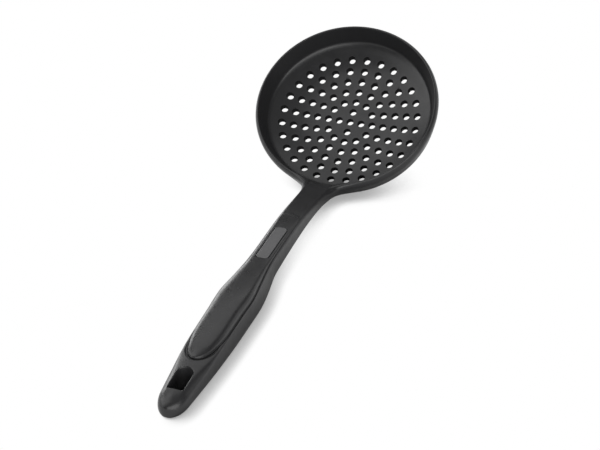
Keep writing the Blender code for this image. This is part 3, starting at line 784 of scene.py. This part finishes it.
class SkimmerSizes(bpy.types.PropertyGroup):
    hole_diameter: bpy.props.FloatProperty(
        name="Hole diameter", description="Width of a drain hole",
        default=4.35 * MM, min=1.0 * MM, max=6.0 * MM, unit="LENGTH")
    hole_edge: bpy.props.FloatProperty(
        name="Hole edge", description="Rounding of a drain hole's edges",
        default=0.12 * MM, min=0.05 * MM, max=0.8 * MM, unit="LENGTH")
    hang_edge: bpy.props.FloatProperty(
        name="Hang hole edge", description="Rounding of the hang hole's edges",
        default=0.6 * MM, min=0.1 * MM, max=2.0 * MM, unit="LENGTH")
    groove: bpy.props.FloatProperty(
        name="Pad groove", description="Width of the groove between the pad and the handle",
        default=0.24 * MM, min=0.1 * MM, max=0.6 * MM, unit="LENGTH")
    seat_edge: bpy.props.FloatProperty(
        name="Seat edge", description="Rounding of the handle's edge beside the pad",
        default=0.25 * MM, min=0.05 * MM, max=0.4 * MM, unit="LENGTH")
    pad_foot: bpy.props.FloatProperty(
        name="Pad foot", description="Width of the thin foot round the pad's crown",
        default=0.3 * MM, min=0.2 * MM, max=1.5 * MM, unit="LENGTH")
    plate_proud: bpy.props.FloatProperty(
        name="Plate height", description="How far the plate stands above the pad",
        default=0.3 * MM, min=0.0, max=1.0 * MM, unit="LENGTH")
    plate_gap: bpy.props.FloatProperty(
        name="Plate gap", description="Width of the gap round the plate",
        default=0.4 * MM, min=0.1 * MM, max=1.0 * MM, unit="LENGTH")


class SkimmerColours(bpy.types.PropertyGroup):
    nylon: bpy.props.FloatVectorProperty(
        name="Nylon", description="Colour of the bowl and the handle", subtype="COLOR",
        default=linear_colour("#262627"), min=0.0, max=1.0)
    elastomer: bpy.props.FloatVectorProperty(
        name="Elastomer", description="Colour of the grip pad", subtype="COLOR",
        default=linear_colour("#262627"), min=0.0, max=1.0)
    polypropylene: bpy.props.FloatVectorProperty(
        name="Polypropylene", description="Colour of the carrier under the pad", subtype="COLOR",
        default=linear_colour("#1c1c1d"), min=0.0, max=1.0)
    plate: bpy.props.FloatVectorProperty(
        name="Plate", description="Colour of the inlaid plate", subtype="COLOR",
        default=linear_colour("#555556"), min=0.0, max=1.0)
    floor: bpy.props.FloatVectorProperty(
        name="Floor", description="Colour of the studio floor", subtype="COLOR",
        default=linear_colour("#acacac"), min=0.0, max=1.0)


class SkimmerStudio(bpy.types.PropertyGroup):
    key_power: bpy.props.FloatProperty(
        name="Key", description="Power of the large lamp on the left",
        default=7.2, min=0.0, unit="POWER")
    back_power: bpy.props.FloatProperty(
        name="Back", description="Power of the wide lamp behind on the left",
        default=10.4, min=0.0, unit="POWER")
    card_power: bpy.props.FloatProperty(
        name="Card", description="Power of the low white card behind on the left",
        default=8.6, min=0.0, unit="POWER")
    right_power: bpy.props.FloatProperty(
        name="Right card", description="Power of the weak card behind on the right",
        default=2.2, min=0.0, unit="POWER")
    left_power: bpy.props.FloatProperty(
        name="Left", description="Power of the low lamp on the left",
        default=9.0, min=0.0, unit="POWER")
    fill_power: bpy.props.FloatProperty(
        name="Fill", description="Power of the wide low lamp in front on the right",
        default=34.0, min=0.0, unit="POWER")
    top_power: bpy.props.FloatProperty(
        name="Top", description="Power of the weak lamp overhead",
        default=1.4, min=0.0, unit="POWER")
    room: bpy.props.FloatProperty(
        name="Room", description="Strength of the even light from all round",
        default=0.12, min=0.0, max=2.0)


class SKIMMER_OT_body(bpy.types.Operator):
    """Model the bowl, the neck and the handle as one moulding, with its holes and the pad's seat"""

    bl_idname = "skimmer.body"
    bl_label = "Bowl and handle"

    def execute(self, context):
        sizes = context.scene.skimmer_sizes
        colours = context.scene.skimmer_colours
        names = ("handle_sheet", "inside_sheet", "wall_sheet", "under_sheet")
        sheets = [lay_grid(name, rows) for name, rows in zip(names, body_sheets())]
        body = close_up(join_pieces(sheets))
        body.name = "bowl_and_handle"
        body.data.name = "bowl_and_handle"
        subdivide(body, 1)
        # Glass-filled nylon from a spark-eroded mould: an even satin black with soft, wide highlights.
        # The real grain is about 0.1 mm; it is drawn at 0.4 mm so that it shows.
        satin = plastic("glass_filled_nylon_moulded_satin", colours.nylon, cloud=0.10, roughness=0.32,
                        grain_width=0.4 * MM, grain_depth=0.02 * MM, ior=1.53, gloss=0.36)
        # The same nylon where the core pins drew out: dry, matt walls, darkened with painted shade
        # so that they stay black inside the holes.
        # The real drag marks are about 0.1 mm; they are drawn at 0.3 mm so that they show.
        # Painted shade: the hole walls take the nylon's colour darkened, so the holes stay black.
        shade = [c * HOLE_WALL_PAINTED_SHADE for c in colours.nylon]
        matt = plastic("glass_filled_nylon_drawn_matt", shade, cloud=0.10, roughness=0.85,
                       grain_width=0.3 * MM, grain_depth=0.03 * MM, ior=1.53, gloss=0.12)
        body.data.materials.append(satin)
        holes = hole_cutter(sizes.hole_diameter, sizes.hole_edge)
        holes.data.materials.append(matt)
        cutters = (seat_cutter(sizes.groove, sizes.seat_edge), holes, hang_cutter(sizes.hang_edge))
        for cutter in cutters:
            if not cutter.data.materials:
                cutter.data.materials.append(satin)
            cut(body, cutter)
        finish_piece(body, "skimmer_body")
        return {"FINISHED"}


class SKIMMER_OT_pad(bpy.types.Operator):
    """Model the soft grip pad: a crowned form on a thin foot, with a recess for the plate"""

    bl_idname = "skimmer.pad"
    bl_label = "Grip pad"

    def execute(self, context):
        sizes = context.scene.skimmer_sizes
        foot = sizes.pad_foot
        spine = (PAD_START + PAD_START_ROUND, PAD_END - PAD_TIP_SPINE)
        outline = pad_outline(0.0)
        loops = [[place(x, d, pad_seat(d) + GAP) for x, d in towards_spine(outline, 0.0, *spine)],
                 [place(x, d, pad_seat(d) + GAP) for x, d in outline]]
        for out, down in PAD_EDGE_STEPS:
            loops.append([place(x, d, pad_edge(d) - down * MM) for x, d in pad_outline(out * MM, out * MM)])
        inner = pad_outline(PAD_FOOT_ROUND - foot, PAD_FOOT_START)
        loops.append([place(x, d, pad_edge(d)) for x, d in inner])
        crown = pad_outline(-foot, PAD_CROWN_START)
        for step in range(PAD_ARC + 1):
            turn = 0.5 * pi * step / PAD_ARC
            share = max(cos(turn), 0.0) ** (2.0 / PAD_CROWN_POWER)
            rise = sin(turn) ** (2.0 / PAD_CROWN_POWER)
            if step == PAD_ARC:
                share = 0.0
            loops.append([place(x, d, pad_edge(d) + pad_crown(d) * rise)
                          for x, d in towards_spine(crown, share, *spine)])
        pad = lay_shell("soft_grip_pad", loops)
        subdivide(pad, 1)
        # Soft-touch elastomer, moulded over a hard carrier: a dry, rubbery black with a weak, wide sheen.
        # The real grain is about 0.05 mm; it is drawn at 0.3 mm so that it shows.
        colour = context.scene.skimmer_colours.elastomer
        soft = plastic("soft_touch_elastomer_moulded", colour, cloud=0.08, roughness=0.30,
                       grain_width=0.3 * MM, grain_depth=0.015 * MM, ior=1.50, gloss=0.4)
        recess = self.recess(sizes.plate_gap, foot)
        for piece in (pad, recess):
            piece.data.materials.append(soft)
        cut(pad, recess)
        finish_piece(pad, "grip_pad")
        return {"FINISHED"}

    def recess(self, gap, foot):
        """Room for the plate, with a small rounded edge."""
        spine = (PLATE_START + PLATE_CORNER, PLATE_END - PLATE_CORNER)
        wall = plate_outline(gap)
        low = -PLATE_DEPTH - GAP
        loops = [[place(x, d, pad_top(d, x, foot) + low) for x, d in towards_spine(wall, share, *spine)]
                 for share in PLATE_BASE_SHARES]
        steps = rounded_edge(RECESS_EDGE)
        for out, down in steps:
            loops.append([place(x, d, pad_top(d, x, foot) - down) for x, d in plate_outline(gap + out)])
        widest = plate_outline(gap + steps[-1][0])
        loops.append([place(x, d, handle_top(d, x) + CUTTER_REACH) for x, d in widest])
        return lay_shell("recess_cutter", loops)


class SKIMMER_OT_plate(bpy.types.Operator):
    """Model the bare inlaid plate that follows the pad's crown"""

    bl_idname = "skimmer.plate"
    bl_label = "Inlaid plate"

    def execute(self, context):
        sizes = context.scene.skimmer_sizes
        spine = (PLATE_START + PLATE_CORNER, PLATE_END - PLATE_CORNER)
        outline = plate_outline(0.0)

        def loop(points, rise):
            return [place(x, d, pad_top(d, x, sizes.pad_foot) + rise) for x, d in points]

        loops = [loop(towards_spine(outline, share, *spine), -PLATE_DEPTH) for share in PLATE_BASE_SHARES]
        for out, down in PLATE_EDGE_STEPS:
            loops.append(loop(plate_outline(out * MM), sizes.plate_proud - down * MM))
        inner = plate_outline(PLATE_EDGE_STEPS[-1][0] * MM)
        for share in PLATE_TOP_SHARES:
            loops.append(loop(towards_spine(inner, share, *spine), sizes.plate_proud))
        plate = lay_shell("inlaid_plate", loops)
        subdivide(plate, 1)
        # ABS with a satin paint: a smooth mid grey whose edges catch a thin light line.
        # The paint's own mist is about 0.05 mm; it is drawn at 0.25 mm so that it shows.
        colour = context.scene.skimmer_colours.plate
        painted = plastic("abs_satin_painted_grey", colour, cloud=0.06, roughness=0.42,
                          grain_width=0.25 * MM, grain_depth=0.008 * MM, ior=1.50, gloss=0.5)
        plate.data.materials.append(painted)
        finish_piece(plate, "badge_plate")
        return {"FINISHED"}


class SKIMMER_OT_carrier(bpy.types.Operator):
    """Give the hard carrier under the pad its finish"""

    bl_idname = "skimmer.carrier"
    bl_label = "Pad carrier"

    def execute(self, context):
        # Polypropylene, moulded: a slightly waxy black with a broad, dull gloss.
        # The real grain is about 0.1 mm; it is drawn at 0.5 mm so that it shows.
        colour = context.scene.skimmer_colours.polypropylene
        finish = plastic("polypropylene_moulded_black", colour, cloud=0.08, roughness=0.58,
                         grain_width=0.5 * MM, grain_depth=0.02 * MM, ior=1.49, gloss=0.45)
        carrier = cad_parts["grip_carrier"]
        carrier.data.materials.clear()
        carrier.data.materials.append(finish)
        return {"FINISHED"}


class SKIMMER_OT_stage(bpy.types.Operator):
    """Set up the floor, the lamps, the even light and the camera"""

    bl_idname = "skimmer.stage"
    bl_label = "Studio"

    def execute(self, context):
        self.floor(context.scene.skimmer_colours.floor)
        studio = context.scene.skimmer_studio
        for name, location, size, power in LAMPS:
            self.lamp(name, location, size, getattr(studio, power))
        self.even_light(context, studio.room)
        bpy.ops.object.select_all(action="DESELECT")
        bpy.ops.object.camera_add(location=CAMERA_PLACE, rotation=CAMERA_TURN)
        camera = context.object
        camera.name = "photo_camera"
        camera.data.lens = CAMERA_LENS
        camera.data.sensor_width = CAMERA_SENSOR
        camera.data.clip_start = CAMERA_CLIP
        context.scene.camera = camera
        context.scene.view_settings.view_transform = "Standard"
        return {"FINISHED"}

    def floor(self, colour):
        """Wide matt floor under the skimmer."""
        bpy.ops.object.select_all(action="DESELECT")
        bpy.ops.mesh.primitive_plane_add(size=FLOOR_SIZE, location=(0.0, 0.0, CAD_LOW.z))
        floor = bpy.context.object
        floor.name = "studio_floor"
        bpy.ops.object.transform_apply(location=True, rotation=False, scale=False)

        # Matt paper sweep: a pale, dry floor that shows as clean white, and keeps the skimmer's soft shadow.
        # The real fibre is about 0.1 mm; it is drawn at 1.5 mm so that it shows.
        made = bpy.data.materials.new("matt_paper_sweep")
        made.use_nodes = True
        tree = made.node_tree
        tree.nodes.clear()
        where = node(tree, "ShaderNodeTexCoord").outputs["Object"]
        fibre = node(tree, "ShaderNodeTexNoise", (("Scale", 1.0 / FIBRE_WIDTH), ("Detail", FIBRE_DETAIL)),
                     (("Vector", where),))
        pale = list(colour) + [1.0]
        deep = [c * FIBRE_SHADE for c in colour] + [1.0]
        tint = node(tree, "ShaderNodeMix",
                    (("data_type", "RGBA"), (MIX_COLOUR_A, deep), (MIX_COLOUR_B, pale)),
                    ((MIX_SHARE, fibre.outputs["Fac"]),))
        matt = node(tree, "ShaderNodeBsdfDiffuse", (("Roughness", FLOOR_ROUGHNESS),),
                    (("Color", tint.outputs[MIX_COLOUR_OUT]),))
        white = node(tree, "ShaderNodeEmission", (("Color", WHITE), ("Strength", 1.0)))
        beside = self.openness(tree, SHADOW_LEAN, SHADOW_REACH, SHADOW_LIMITS, SHADOW_LIFT)
        under = self.openness(tree, COVER_LEAN, COVER_REACH, COVER_LIMITS, SHADOW_LIFT)
        mirrored = self.openness(tree, SHADOW_LEAN, MIRRORED_REACH, MIRRORED_LIMITS, 0.0)
        in_view = node(tree, "ShaderNodeMath", (("operation", "MINIMUM"),), ((0, beside), (1, under)))
        ray = node(tree, "ShaderNodeLightPath")
        in_gloss = ray.outputs["Is Glossy Ray"]
        share = node(tree, "ShaderNodeMix", (("data_type", "FLOAT"),),
                     ((MIX_SHARE, in_gloss), (MIX_NUMBER_A, in_view.outputs[0]),
                      (MIX_NUMBER_B, mirrored)))
        lifted = node(tree, "ShaderNodeMixShader", (),
                      ((0, share.outputs[0]), (1, matt.outputs[0]), (2, white.outputs[0])))
        seen = ray.outputs["Is Camera Ray"]
        for other in (in_gloss, ray.outputs["Is Transmission Ray"]):
            either = node(tree, "ShaderNodeMath", (("operation", "MAXIMUM"),), ((0, seen), (1, other)))
            seen = either.outputs[0]
        mixed = node(tree, "ShaderNodeMixShader", (),
                     ((0, seen), (1, matt.outputs[0]), (2, lifted.outputs[0])))
        node(tree, "ShaderNodeOutputMaterial", (), (("Surface", mixed.outputs[0]),))
        floor.data.materials.append(made)

    def openness(self, tree, lean, reach, limits, least):
        """Share of open floor towards a leaning direction: 1 in the clear, least close to the skimmer."""
        upright = node(tree, "ShaderNodeNewGeometry").outputs["Normal"]
        leaning = node(tree, "ShaderNodeVectorMath", (("operation", "ADD"), (1, lean)), ((0, upright),))
        towards = node(tree, "ShaderNodeVectorMath", (("operation", "NORMALIZE"),),
                       ((0, leaning.outputs[0]),))
        near = node(tree, "ShaderNodeAmbientOcclusion", (("samples", SHADOW_SAMPLES), ("Distance", reach)),
                    (("Normal", towards.outputs[0]),))
        share = node(tree, "ShaderNodeMapRange",
                     (("interpolation_type", "SMOOTHSTEP"), ("From Min", limits[0]),
                      ("From Max", limits[1]), ("To Min", least)),
                     (("Value", near.outputs["AO"]),))
        return share.outputs["Result"]

    def lamp(self, name, location, size, power):
        """Large soft lamp that points at the skimmer."""
        aim = Vector(LAMP_AIM) - Vector(location)
        turn = aim.to_track_quat("-Z", "Y").to_euler()
        bpy.ops.object.select_all(action="DESELECT")
        bpy.ops.object.light_add(type="AREA", location=location, rotation=turn)
        lamp = bpy.context.object
        lamp.name = name
        lamp.data.shape = "RECTANGLE"
        lamp.data.size, lamp.data.size_y = size
        lamp.data.energy = power

    def even_light(self, context, strength):
        """World that lights evenly from all round."""
        world = bpy.data.worlds.new("even_studio_light")
        context.scene.world = world
        world.use_nodes = True
        tree = world.node_tree
        tree.nodes.clear()
        light = node(tree, "ShaderNodeBackground", (("Color", WHITE), ("Strength", strength)))
        node(tree, "ShaderNodeOutputWorld", (), (("Surface", light.outputs[0]),))


class SKIMMER_PT_parts(bpy.types.Panel):
    """Lists the skimmer's pieces, sizes and colours"""

    bl_idname = "SKIMMER_PT_parts"
    bl_label = "Skimmer"
    bl_space_type = "VIEW_3D"
    bl_region_type = "UI"
    bl_category = "Skimmer"

    def draw(self, context):
        scene = context.scene
        for operator in OPERATORS:
            self.layout.operator(operator.bl_idname)
        for group in (scene.skimmer_sizes, scene.skimmer_colours, scene.skimmer_studio):
            column = self.layout.column(align=True)
            for name in group.__annotations__:
                column.prop(group, name)


OPERATORS = (SKIMMER_OT_body, SKIMMER_OT_carrier, SKIMMER_OT_pad, SKIMMER_OT_plate, SKIMMER_OT_stage)
CLASSES = (SkimmerSizes, SkimmerColours, SkimmerStudio) + OPERATORS + (SKIMMER_PT_parts,)


def register():
    for item in CLASSES:
        bpy.utils.register_class(item)
    bpy.types.Scene.skimmer_sizes = bpy.props.PointerProperty(type=SkimmerSizes)
    bpy.types.Scene.skimmer_colours = bpy.props.PointerProperty(type=SkimmerColours)
    bpy.types.Scene.skimmer_studio = bpy.props.PointerProperty(type=SkimmerStudio)


def unregister():
    del bpy.types.Scene.skimmer_studio
    del bpy.types.Scene.skimmer_colours
    del bpy.types.Scene.skimmer_sizes
    for item in reversed(CLASSES):
        bpy.utils.unregister_class(item)


def main():
    register()
    bpy.ops.skimmer.body()
    bpy.ops.skimmer.carrier()
    bpy.ops.skimmer.pad()
    bpy.ops.skimmer.plate()
    bpy.ops.skimmer.stage()


if __name__ == "__main__":
    main()
